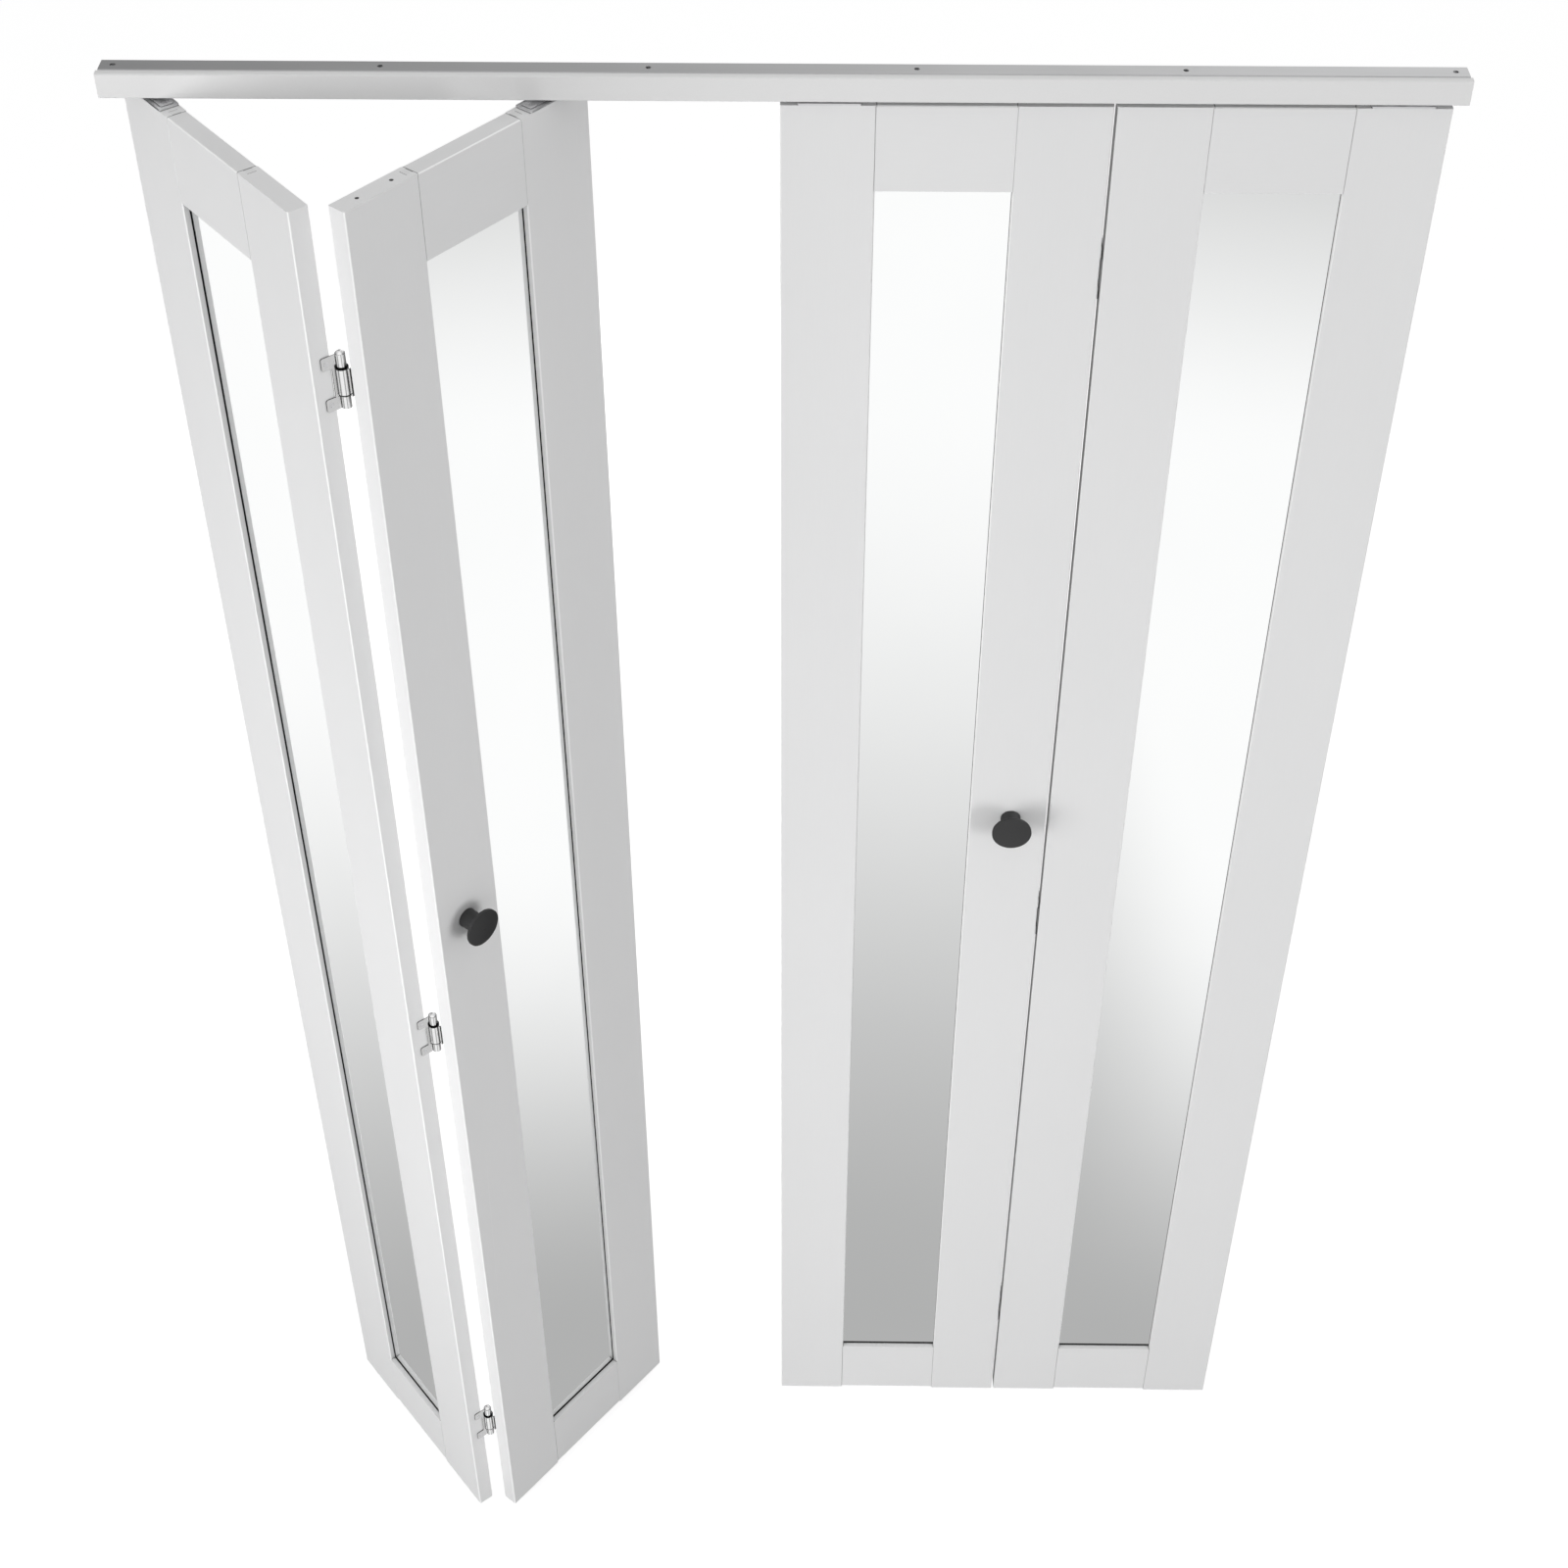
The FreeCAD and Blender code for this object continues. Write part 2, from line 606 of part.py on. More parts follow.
def make_rail(label, fold, place, outer_end, inner_end):
    """Rail between the stiles: a tongued middle layer between a front and a back layer."""
    body = new_body(label)
    rising = 1 if inner_end.value > outer_end.value else -1
    groove_floor = inner_end - D["groove_depth"] * rising
    tongue = D["groove_depth"] - D["tongue_clearance"]
    layers = [
        ("middle", groove_front, groove_width, tongue, groove_floor),
        ("front", -half_thickness, D["front_lip"], ZERO, inner_end),
        ("back", groove_back, half_thickness - groove_back, ZERO, inner_end)]
    for name, start, thickness, reach, end in layers:
        face = sketch_on(body, f"{name}_layer", "XZ_Plane", -start - thickness)
        low, high = opening_low - reach, opening_high + reach
        if rising > 0:
            rectangle(face, low * fold, outer_end, high * fold, end)
        else:
            rectangle(face, low * fold, end, high * fold, outer_end)
        pad(body, face, thickness, f"{name}_pad")
    small = D["arris"].value
    faces = half_thickness.value
    dress(body, "Chamfer", "Size", D["arris"],
          lambda middle, way: (near(abs(middle.y), faces) and near(abs(way.x), 1)
                               and near(middle.z, outer_end.value)), "rail_arris")
    return keep(body, place)


def make_pane(label, fold, place, start, thickness):
    """Mirror or backing board, held in the frame's groove on all four sides."""
    box = doc.addObject("Part::Box", label)
    box.Label = label
    bite = D["groove_depth"] - D["pane_clearance"]
    bind(box, "Length", opening_high - opening_low + bite * 2)
    bind(box, "Width", thickness)
    bind(box, "Height", opening_top - opening_bottom + bite * 2)
    left = opening_low - bite if fold > 0 else -opening_high - bite
    return keep(box, place * at(left, start, opening_bottom - bite))


def make_frame(prefix, fold, place, pin_radius, pivot_side):
    """Stiles, rails, mirror and backing board of one panel."""
    make_pin_stile(prefix, fold, place, pin_radius, pivot_side)
    make_fold_stile(prefix, fold, place, pivot_side)
    make_rail(f"{prefix}_top_rail", fold, place, D["panel_height"], opening_top)
    make_rail(f"{prefix}_bottom_rail", fold, place, D["rail_setback"], opening_bottom)
    make_pane(f"{prefix}_mirror", fold, place, groove_front, D["mirror_thickness"])
    make_pane(f"{prefix}_backing_board", fold, place,
              groove_front + D["mirror_thickness"], D["board_thickness"])


# ---------------------------------------------------------------- plates, pins and roller

def make_plate(label, place, bore_radius, half_width):
    """Stepped plate on a stile's end, its underside at z = 0."""
    body = new_body(label)
    half_length = D["plate_length"] / 2
    base = sketch_on(body, "plate_base", "XY_Plane")
    rectangle(base, -half_length, -half_width, half_length, half_width)
    pad(body, base, D["plate_thickness"])
    margin = D["plate_step_margin"]
    step = sketch_on(body, "plate_step", "XY_Plane", D["plate_thickness"])
    rectangle(step, margin - half_length, margin - half_width,
              half_length - margin, half_width - margin)
    pad(body, step, D["plate_step_height"], "step_pad")
    dress(body, "Fillet", "Radius", D["plate_corner"],
          lambda _, way: near(abs(way.z), 1), "plate_corners")
    bore = sketch_on(body, "plate_bore", "XY_Plane", plate_top)
    circles(bore, bore_radius, [(ZERO, ZERO)])
    pocket(body, bore, plate_top, name="plate_bore_cut")
    screws = sketch_on(body, "plate_screws", "XY_Plane", plate_top)
    circles(screws, D["plate_screw_diameter"] / 2, [(x, ZERO) for x in plate_screw_xs(1)])
    countersink(body, screws, D["plate_screw_diameter"], D["plate_screw_head"])
    return keep(body, place)


def turned_pin(label, place, steps):
    """Pin turned about Z from (radius, z_low, z_high) steps, from the bottom up."""
    body = new_body(label)
    profile = sketch_on(body, "pin_profile", "XZ_Plane")
    corners = [(ZERO, steps[0][1])]
    for radius, low, high in steps:
        corners += [(radius, low), (radius, high)]
    corners.append((ZERO, steps[-1][2]))
    outline(profile, corners)
    revolve(body, profile)
    return keep(body, place)


def make_top_pivot(side, place):
    """Plate and pin that carry a pivot panel in its bracket; heights are from the panel's top."""
    make_plate(f"{side}_top_pivot_plate", place, D["pivot_pin_diameter"] / 2, half_thickness)
    pin = D["pivot_pin_diameter"] / 2
    collar_top = plate_top + D["collar_height"]
    pin_top = lip_top + D["bracket_height"] - panel_top
    turned_pin(f"{side}_top_pivot_pin", place, [
        (pin, -D["pin_shank"], plate_top),
        (D["pivot_collar_diameter"] / 2, plate_top, collar_top),
        (pin, collar_top, pin_top)])


def make_bottom_pivot(side, place):
    """Plate under the stile, set back from its faces, and a pin with a hexagon height adjuster."""
    downwards = place * at(turn=Rotation(Vector(1, 0, 0), 180))
    make_plate(f"{side}_bottom_pivot_plate", downwards, D["bottom_pin_diameter"] / 2,
               D["bottom_plate_width"] / 2)
    body = new_body(f"{side}_bottom_pivot_pin")
    shank = sketch_on(body, "pin_section", "XY_Plane", -D["pin_shank"])
    circles(shank, D["bottom_pin_diameter"] / 2, [(ZERO, ZERO)])
    free_end = plate_top + D["adjuster_height"] + D["bottom_pin_length"]
    pad(body, shank, D["pin_shank"] + free_end)
    adjuster = sketch_on(body, "adjuster", "XY_Plane", plate_top)
    hexagon(adjuster, D["adjuster_width"])
    pad(body, adjuster, D["adjuster_height"], "adjuster_pad")
    keep(body, downwards)


def make_guide(side, place):
    """Plate, pin and roller that steer a lead panel along the channel."""
    make_plate(f"{side}_guide_plate", place, D["guide_pin_diameter"] / 2, half_thickness)
    pin = D["guide_pin_diameter"] / 2
    collar_top = plate_top + D["collar_height"]
    shoulder = lip_top + D["lip_to_shoulder"] - panel_top
    seat = shoulder + D["guide_shoulder_height"]
    head = seat + D["roller_height"] + D["roller_play"] * 2
    shoulder_radius = D["guide_shoulder_diameter"] / 2
    turned_pin(f"{side}_guide_pin", place, [
        (pin, -D["pin_shank"], plate_top),
        (D["guide_collar_diameter"] / 2, plate_top, collar_top),
        (pin, collar_top, shoulder),
        (shoulder_radius, shoulder, seat),
        (pin, seat, head),
        (shoulder_radius, head, head + D["guide_head_height"])])
    roller = new_body(f"{side}_guide_roller")
    profile = sketch_on(roller, "roller_profile", "XZ_Plane")
    bore = pin + D["running_clearance"]
    rim, edge = D["roller_diameter"] / 2, D["roller_edge"]
    low = seat + D["roller_play"]
    high = low + D["roller_height"]
    outline(profile, [(bore, low), (rim - edge, low), (rim, low + edge), (rim, high - edge),
                      (rim - edge, high), (bore, high)])
    revolve(roller, profile)
    keep(roller, place)


# ---------------------------------------------------------------- hinges

def make_pivot_leaf(label, fold):
    """Leaf with two fingers on the fold edge, a bar that joins them behind the panel's back, and
    both end knuckles; it is made about the hinge axis, and z = 0 is its middle."""
    body = new_body(label)
    back = -D["knuckle_offset"]
    far = back - D["leaf_reach"]
    bar = -D["middle_knuckle_diameter"] / 2 - D["leaf_bar_gap"]
    root = -(D["end_knuckle_diameter"] + D["hinge_pin_diameter"]) / 4
    top, inner = D["hinge_height"] / 2, finger_start
    face = -D["fold_gap"] / 2
    lift = face if fold > 0 else -face - D["leaf_thickness"]
    plate = sketch_on(body, "leaf_plate", "YZ_Plane", lift)
    outline(plate, [
        (far, -top), (root, -top), (root, -inner), (bar, -inner), (bar, inner), (root, inner),
        (root, top), (far, top), (far, inner), (back, inner), (back, -inner), (far, -inner)])
    pad(body, plate, D["leaf_thickness"])
    dress(body, "Fillet", "Radius", D["leaf_corner"],
          lambda middle, way: near(abs(way.x), 1) and near(middle.y, far.value), "finger_corners")
    for name, start in (("upper", inner), ("lower", -top)):
        knuckle = sketch_on(body, f"{name}_knuckle", "XY_Plane", start)
        circles(knuckle, D["end_knuckle_diameter"] / 2, [(ZERO, ZERO)])
        pad(body, knuckle, D["finger_height"], f"{name}_knuckle_pad")
    bore = sketch_on(body, "pin_bore", "XY_Plane", top)
    circles(bore, D["hinge_pin_diameter"] / 2, [(ZERO, ZERO)])
    pocket(body, bore, D["hinge_height"], name="pin_bore_cut")
    outer = (D["leaf_thickness"] - D["fold_gap"] / 2) * fold
    holes = sketch_on(body, "leaf_screw_holes", "YZ_Plane", outer)
    circles(holes, D["leaf_screw_diameter"] / 2,
            [(back - D["leaf_screw_inset"], height) for height in finger_screw_heights()])
    countersink(body, holes, D["leaf_screw_diameter"], D["leaf_screw_head"], fold < 0)
    return body


def make_lead_leaf(label, fold):
    """Leaf on the panel's back, bent at the fold edge into the arm of the middle knuckle, which
    turns on the hinge pin."""
    body = new_body(label)
    back = -D["knuckle_offset"]
    outer = back + D["leaf_thickness"]
    root = -(D["middle_knuckle_diameter"] + D["hinge_pin_diameter"]) / 4
    half = finger_start - D["knuckle_play"]
    edge = -D["fold_gap"] / 2 * fold
    arm = edge + D["leaf_thickness"] * fold
    far = edge - D["lead_leaf_reach"] * fold
    plan = sketch_on(body, "leaf_plan", "XY_Plane", -half)
    outline(plan, [(far, back), (arm, back), (arm, root), (edge, root), (edge, outer),
                   (far, outer)])
    pad(body, plan, half * 2)
    dress(body, "Fillet", "Radius", D["leaf_corner"],
          lambda middle, way: near(abs(way.y), 1) and near(middle.x, far.value), "leaf_corners")
    knuckle = sketch_on(body, "middle_knuckle", "XY_Plane", -half)
    circles(knuckle, D["middle_knuckle_diameter"] / 2, [(ZERO, ZERO)])
    pad(body, knuckle, half * 2, "knuckle_pad")
    bore = sketch_on(body, "pin_bore", "XY_Plane", half)
    circles(bore, D["hinge_pin_diameter"] / 2 + D["running_clearance"], [(ZERO, ZERO)])
    pocket(body, bore, half * 2, name="pin_bore_cut")
    holes = sketch_on(body, "leaf_screw_holes", "XZ_Plane", -outer)
    screw_x = edge - D["lead_leaf_screw_inset"] * fold
    circles(holes, D["leaf_screw_diameter"] / 2,
            [(screw_x, height) for height in lead_leaf_screw_heights()])
    countersink(body, holes, D["leaf_screw_diameter"], D["leaf_screw_head"], True)
    return body


def make_hinge_pin():
    """Pin with a domed head on the upper knuckle, about the hinge axis."""
    body = new_body("hinge_pin")
    profile = sketch_on(body, "hinge_pin_profile", "XZ_Plane")
    radius, head = D["hinge_pin_diameter"] / 2, D["hinge_pin_head"] / 2
    top, dome = D["hinge_height"] / 2, D["hinge_pin_dome"]
    dome_radius = (head * head + dome * dome) / (dome * 2)
    outline(profile, [(ZERO, -top), (radius, -top), (radius, top), (head, top, dome_radius),
                      (ZERO, top + dome)])
    revolve(body, profile)
    return body


def hinge_places(fold):
    """Placements of the three hinges of a panel, from its pin axis and bottom."""
    return [at(hinge_x * fold, hinge_y, height) for height in hinge_heights]


def pivot_leaf_screw_places(fold):
    """Hinge screws in a pivot panel's fold edge; their heads are flush with the leaves."""
    head_x = (fold_edge + D["leaf_thickness"]) * fold
    screw_y = half_thickness - D["leaf_screw_inset"]
    turn = Rotation(Vector(0, 1, 0), 90 * fold)
    return [at(head_x, screw_y, height + offset, turn) for height in hinge_heights
            for offset in finger_screw_heights()]


def lead_leaf_screw_places(fold):
    """Hinge screws in a lead panel's back; their heads are flush with the leaves."""
    screw_x = (fold_edge - D["lead_leaf_screw_inset"]) * fold
    head_y = half_thickness + D["leaf_thickness"]
    turn = Rotation(Vector(1, 0, 0), -90)
    return [at(screw_x, head_y, height + offset, turn) for height in hinge_heights
            for offset in lead_leaf_screw_heights()]


def plate_screw_places(bottom_pivot):
    """Plate screws of one panel; their heads are flush with the plates' steps."""
    height = D["panel_height"] + plate_top
    places = [at(x, ZERO, height) for x in plate_screw_xs(1)]
    if bottom_pivot:
        over = Rotation(Vector(1, 0, 0), 180)
        places += [at(x, ZERO, -plate_top, over) for x in plate_screw_xs(1)]
    return places


# ---------------------------------------------------------------- knobs

def make_knob(side, fold, place):
    """Mushroom knob turned about its own axis, threaded on its screw."""
    body = new_body(f"{side}_knob")
    foot, neck = D["knob_foot_diameter"] / 2, D["knob_neck_diameter"] / 2
    head, tip = D["knob_diameter"] / 2, D["knob_projection"]
    screw, bite = D["knob_screw_diameter"] / 2, D["knob_screw_bite"]
    crown, fillet, edge = D["knob_crown"], D["knob_fillet"], D["knob_edge"]
    face = tip - crown
    under = face - D["knob_rim"]
    crown_radius = (head * head + crown * crown) / (crown * 2)
    profile = sketch_on(body, "knob_profile", "XZ_Plane")
    outline(profile, [
        (screw, ZERO), (foot, ZERO), (neck, under - fillet, -fillet), (neck + fillet, under),
        (head - edge, under, edge), (head, under + edge), (head, face, crown_radius),
        (ZERO, tip), (ZERO, bite), (screw, bite)])
    revolve(body, profile)
    knob_x = (fold_edge - D["knob_inset"]) * fold
    outwards = Rotation(Vector(1, 0, 0), 90)
    keep(body, place * at(knob_x, -half_thickness, D["knob_height"], outwards))
    screw_body = new_body(f"{side}_knob_screw")
    section = sketch_on(screw_body, "screw_section", "XZ_Plane")
    sunk = D["panel_thickness"] - D["knob_screw_head_height"]
    outline(section, [
        (ZERO, -D["panel_thickness"]), (D["knob_screw_head"] / 2, -D["panel_thickness"]),
        (D["knob_screw_head"] / 2, -sunk), (screw, -sunk), (screw, bite), (ZERO, bite)])
    revolve(screw_body, section)
    keep(screw_body, place * at(knob_x, -half_thickness, D["knob_height"], outwards))


# ---------------------------------------------------------------- the two pairs

plate_screw = make_screw("plate_screw", D["plate_screw_diameter"], D["plate_screw_head"],
                         D["plate_screw_length"] + D["plate_step_height"])
leaf_screw = make_screw("leaf_screw", D["leaf_screw_diameter"], D["leaf_screw_head"],
                        D["leaf_screw_length"])
hinge_pin = make_hinge_pin()


def make_pair(side, outward, fold_angle):
    """One pair of panels; outward is the jamb's side, fold_angle how far the pair stands open."""
    upright = Vector(0, 0, 1)
    inward = -outward
    pivot_x = pivot_xs[side].value
    guide_x = pivot_x + pin_travel(fold_angle) * inward
    low = panel_bottom.value

    # the pivot panel folds towards the room at its inner edge
    pivot_turn = Rotation(upright, fold_angle * outward)
    pivot_place = Placement(Vector(pivot_x, 0, low), pivot_turn)
    pivot_top = pivot_place * at(z=D["panel_height"])
    prefix = f"{side}_pivot_panel"
    make_frame(prefix, inward, pivot_place, D["pivot_pin_diameter"] / 2, True)
    make_top_pivot(side, pivot_top)
    make_bottom_pivot(side, pivot_place)
    leaf = make_pivot_leaf(f"{side}_pivot_leaf", inward)
    places = hinge_places(inward)
    group(f"{prefix}_hinge_leaves", [(leaf, spot) for spot in places], pivot_place)
    group(f"{side}_hinge_pins", [(hinge_pin, spot) for spot in places], pivot_place)
    screws = [(plate_screw, spot) for spot in plate_screw_places(True)]
    screws += [(leaf_screw, spot) for spot in pivot_leaf_screw_places(inward)]
    group(f"{prefix}_screws", screws, pivot_place)

    # the lead panel is its mirror image about the fold
    lead_place = Placement(Vector(guide_x, 0, low), Rotation(upright, -fold_angle * outward))
    lead_top = lead_place * at(z=D["panel_height"])
    prefix = f"{side}_lead_panel"
    make_frame(prefix, outward, lead_place, D["guide_pin_diameter"] / 2, False)
    make_guide(side, lead_top)
    leaf = make_lead_leaf(f"{side}_lead_leaf", outward)
    group(f"{prefix}_hinge_leaves", [(leaf, spot) for spot in hinge_places(outward)], lead_place)
    screws = [(plate_screw, spot) for spot in plate_screw_places(False)]
    screws += [(leaf_screw, spot) for spot in lead_leaf_screw_places(outward)]
    group(f"{prefix}_screws", screws, lead_place)
    make_knob(side, outward, lead_place)


make_channel()
make_fascia()
make_bracket("left", -1)
make_bracket("right", 1)
make_clamp_screws()
make_pair("left", -1, D["rest_angle"].value)
make_pair("right", 1, 0.0)

# ---------------------------------------------------------------- checks and export

doc.recompute()
for thing in doc.Objects:
    if "Invalid" in thing.State or "Error" in thing.State:
        raise RuntimeError(f"{thing.Label} did not build: {thing.State}")
for node in nodes:
    if node.Shape.isNull() or not node.Shape.isValid():
        raise RuntimeError(f"{node.Label} has no valid shape")

os.makedirs("parts", exist_ok=True)
for node in nodes:
    node.Shape.exportStep(f"parts/{node.Label}.step")
print(f"{len(nodes)} sub-parts written")
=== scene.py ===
"""Looks of the double bifold closet door: finishes, silvered mirrors, studio and camera.

Lengths are in metres in the part's own frame: +X along the track, the closed fronts face -Y and
+Z is up. Colours are linear.
"""
import bmesh
import bpy
import json
import math
from mathutils import Matrix, Vector

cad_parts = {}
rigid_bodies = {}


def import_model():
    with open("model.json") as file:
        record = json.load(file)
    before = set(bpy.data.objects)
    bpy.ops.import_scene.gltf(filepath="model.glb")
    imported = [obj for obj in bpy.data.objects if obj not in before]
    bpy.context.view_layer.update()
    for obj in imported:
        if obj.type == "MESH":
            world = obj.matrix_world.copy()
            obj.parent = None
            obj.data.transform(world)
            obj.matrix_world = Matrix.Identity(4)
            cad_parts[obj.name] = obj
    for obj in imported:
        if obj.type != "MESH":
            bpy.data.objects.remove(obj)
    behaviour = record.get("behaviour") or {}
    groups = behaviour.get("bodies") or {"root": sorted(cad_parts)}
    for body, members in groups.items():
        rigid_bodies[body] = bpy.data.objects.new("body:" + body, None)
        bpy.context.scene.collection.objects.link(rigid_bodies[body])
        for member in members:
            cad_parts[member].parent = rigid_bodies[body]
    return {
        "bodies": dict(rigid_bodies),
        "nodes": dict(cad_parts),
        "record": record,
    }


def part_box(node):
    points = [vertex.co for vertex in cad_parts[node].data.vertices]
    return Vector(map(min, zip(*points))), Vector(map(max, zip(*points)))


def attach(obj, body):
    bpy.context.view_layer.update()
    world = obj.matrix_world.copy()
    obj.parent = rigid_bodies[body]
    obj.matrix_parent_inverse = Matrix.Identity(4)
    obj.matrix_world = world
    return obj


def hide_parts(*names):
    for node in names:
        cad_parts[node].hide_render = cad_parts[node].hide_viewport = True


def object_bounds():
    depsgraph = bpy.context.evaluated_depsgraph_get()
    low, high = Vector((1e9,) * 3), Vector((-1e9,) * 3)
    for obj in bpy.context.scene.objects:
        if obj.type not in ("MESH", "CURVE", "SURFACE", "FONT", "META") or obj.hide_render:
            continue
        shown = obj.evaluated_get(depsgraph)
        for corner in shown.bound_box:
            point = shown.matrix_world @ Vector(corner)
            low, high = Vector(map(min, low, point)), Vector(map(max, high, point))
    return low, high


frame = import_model()
cad_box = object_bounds()

NODES = frame["nodes"]
UP = Vector((0, 0, 1))


# ---------------------------------------------------------------- shader helpers

def feed(tree, shader, name, value):
    """Give one input its value: a socket is linked, and anything else is set."""
    socket = shader.inputs[name]
    if isinstance(value, bpy.types.NodeSocket):
        tree.links.new(value, socket)
    else:
        socket.default_value = value


def node(tree, kind, inputs=None, **settings):
    """One shader node with its settings and the values of its inputs."""
    made = tree.nodes.new(kind)
    for name, value in settings.items():
        setattr(made, name, value)
    for name, value in (inputs or {}).items():
        feed(tree, made, name, value)
    return made


def calc(tree, operation, first, second=0.0):
    """Socket with the result of one math operation."""
    return node(tree, "ShaderNodeMath", {0: first, 1: second}, operation=operation).outputs[0]


def distance_from(tree, value, mark):
    """Socket with how far a value lies from a mark."""
    return calc(tree, "ABSOLUTE", calc(tree, "SUBTRACT", value, mark))


def blend_between(tree, value, low, high, low_result=0.0, high_result=1.0):
    """Smooth step of value from low to high."""
    step = node(tree, "ShaderNodeMapRange", {
        "Value": value, "From Min": low, "From Max": high,
        "To Min": low_result, "To Max": high_result}, interpolation_type="SMOOTHSTEP")
    return step.outputs["Result"]


def mix_colour(tree, share, first, second):
    """Colour between first and second."""
    mixed = node(tree, "ShaderNodeMix", {0: share, 6: first, 7: second}, data_type="RGBA")
    return mixed.outputs[2]


def grey(level):
    return (level, level, level, 1.0)


def empty_tree(holder):
    """Node tree of a material or a world, with nothing in it."""
    holder.use_nodes = True
    holder.node_tree.nodes.clear()
    return holder.node_tree


def new_material(name):
    """Material with a Principled shader on its output: (material, tree, shader)."""
    material = bpy.data.materials.new(name)
    tree = empty_tree(material)
    shader = node(tree, "ShaderNodeBsdfPrincipled")
    node(tree, "ShaderNodeOutputMaterial", {"Surface": shader.outputs[0]})
    return material, tree, shader


def stretched_place(tree, along, fine, coarse):
    """Object coordinates, times fine across the direction along, and times coarse along it."""
    place = node(tree, "ShaderNodeTexCoord").outputs["Object"]
    along = Vector(along).normalized()
    across = along.orthogonal().normalized()
    third = along.cross(across)
    parts = []
    for direction, scale in ((along, coarse), (across, fine), (third, fine)):
        dot = node(tree, "ShaderNodeVectorMath", {0: place, 1: direction * scale},
                   operation="DOT_PRODUCT")
        parts.append(dot.outputs["Value"])
    return node(tree, "ShaderNodeCombineXYZ", dict(enumerate(parts))).outputs[0]


def noise(tree, place, scale, detail=2.0, roughness=0.5):
    texture = node(tree, "ShaderNodeTexNoise", {
        "Vector": place, "Scale": scale, "Detail": detail, "Roughness": roughness})
    return texture.outputs["Fac"]


def bump(tree, height, distance, strength=1.0):
    return node(tree, "ShaderNodeBump", {
        "Height": height, "Distance": distance, "Strength": strength}).outputs["Normal"]


def along_axis(tree, vector, direction):
    """Socket with the part of a vector that lies along a direction."""
    dot = node(tree, "ShaderNodeVectorMath", {0: vector, 1: Vector(direction)}, operation="DOT_PRODUCT")
    return dot.outputs["Value"]


def band(tree, value, rise, fall):
    """1 between two soft edges, each a (start, end) pair, and 0 outside them."""
    up = blend_between(tree, value, rise[0], rise[1])
    down = blend_between(tree, value, fall[0], fall[1], 1.0, 0.0)
    return calc(tree, "MULTIPLY", up, down)


def shaded(tree, colour, share):
    """The colour times a share between 0 and 1."""
    return mix_colour(tree, share, grey(0.0), colour)


def open_sky(tree, reach):
    """Share of the half sphere over a face that nothing nearer than reach covers."""
    return node(tree, "ShaderNodeAmbientOcclusion", {"Distance": reach}, samples=8).outputs["AO"]


def crevice(tree, sky, gap, corner):
    """Painted shade: the share of colour left, gap deep inside slits, and corner in the inside
    corners of two faces."""
    return calc(tree, "MULTIPLY", blend_between(tree, sky, 0.1, 0.6, gap, 1.0),
                blend_between(tree, sky, 0.5, 0.85, corner, 1.0))


def share_left(tree, amount, darkness):
    """1 less the darkness, where amount is 1."""
    return calc(tree, "SUBTRACT", 1.0, calc(tree, "MULTIPLY", amount, darkness))


def connect(tree, shader, **sockets):
    """Link or set inputs of the Principled shader; underscores stand for blanks."""
    for name, value in sockets.items():
        feed(tree, shader, name.replace("_", " "), value)


def add_object(name, data):
    """New object in the scene."""
    made = bpy.data.objects.new(name, data)
    bpy.context.scene.collection.objects.link(made)
    return made


def dress(name, material):
    """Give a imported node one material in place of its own."""
    slots = NODES[name].data.materials
    slots.clear()
    slots.append(material)


# ---------------------------------------------------------------- materials

WOOD_REACH = 0.006                   # how far the wood looks for what shades it
LIP_LIMIT = 0.0085                   # the groove's front wall lies nearer to the front than this
JOINT_LINE = (0.0014, 0.0018)        # from a joint of rail and stile to the soft edge of its line
TOP_JOINT_LINE = (0.0006, 0.0010)    # the same on the top edge
SILL_SHADE = 0.0030                    # painted shade on the silver reaches this far above the bottom rail's lip
SIDE_SHADE = 0.0004                    # and beside the stiles' lips
SHADE_BLUR = 0.0002                    # half the soft edge between a mirror's silver and its painted shade
